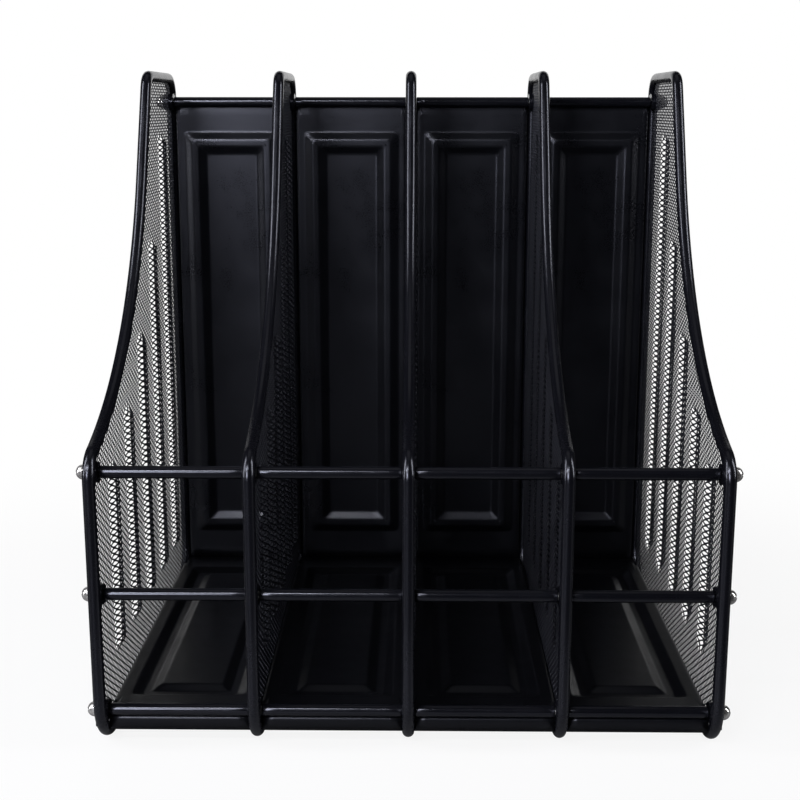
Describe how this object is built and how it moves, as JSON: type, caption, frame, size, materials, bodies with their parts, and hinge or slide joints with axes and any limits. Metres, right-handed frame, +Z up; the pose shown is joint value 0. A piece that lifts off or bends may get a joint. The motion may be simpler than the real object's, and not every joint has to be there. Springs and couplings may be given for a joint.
{
  "type": "desktop file sorter",
  "caption": "Upright desktop file sorter with swept mesh panels in wire frames, joined by cross rods, with a stamped back and floor in each compartment.",
  "frame": {"origin": "on the desk, in the middle of the sorter's width and depth", "axes": "+Z is up, -Y is the open front, +X runs from the left side panel to the right side panel as seen from the front"},
  "size_m": [0.3118, 0.256, 0.324],
  "materials": {
    "wire_frame": "semi-gloss black powder coat on round steel wire",
    "expanded_mesh": "semi-gloss black powder coat on expanded steel mesh",
    "lug": "semi-gloss black powder coat over the weld",
    "back_sheet": "semi-gloss black powder coat on stamped steel sheet",
    "floor_tray": "semi-gloss black powder coat on stamped steel sheet",
    "cross_rod": "semi-gloss black powder coat on round steel rod",
    "stud": "zinc-plated steel",
    "screw": "bright nickel-plated steel"
  },
  "bodies": {
    "root": {"left_side_frame": "wire_frame", "left_side_mesh": "expanded_mesh", "left_side_lugs": "lug", "divider_1_frame": "wire_frame", "divider_1_mesh": "expanded_mesh", "divider_1_lugs": "lug", "divider_2_frame": "wire_frame", "divider_2_mesh": "expanded_mesh", "divider_2_lugs": "lug", "divider_3_frame": "wire_frame", "divider_3_mesh": "expanded_mesh", "divider_3_lugs": "lug", "right_side_frame": "wire_frame", "right_side_mesh": "expanded_mesh", "right_side_lugs": "lug", "back_sheet_1": "back_sheet", "back_sheet_2": "back_sheet", "back_sheet_3": "back_sheet", "back_sheet_4": "back_sheet", "floor_tray_1": "floor_tray", "floor_tray_2": "floor_tray", "floor_tray_3": "floor_tray", "floor_tray_4": "floor_tray", "lower_front_rod_1": "cross_rod", "lower_front_rod_2": "cross_rod", "lower_front_rod_3": "cross_rod", "lower_front_rod_4": "cross_rod", "middle_front_rod_1": "cross_rod", "middle_front_rod_2": "cross_rod", "middle_front_rod_3": "cross_rod", "middle_front_rod_4": "cross_rod", "upper_front_rod_1": "cross_rod", "upper_front_rod_2": "cross_rod", "upper_front_rod_3": "cross_rod", "upper_front_rod_4": "cross_rod", "top_back_rod_1": "cross_rod", "top_back_rod_2": "cross_rod", "top_back_rod_3": "cross_rod", "top_back_rod_4": "cross_rod", "joining_studs": "stud", "end_screws": "screw"}
  },
  "joints": []
}
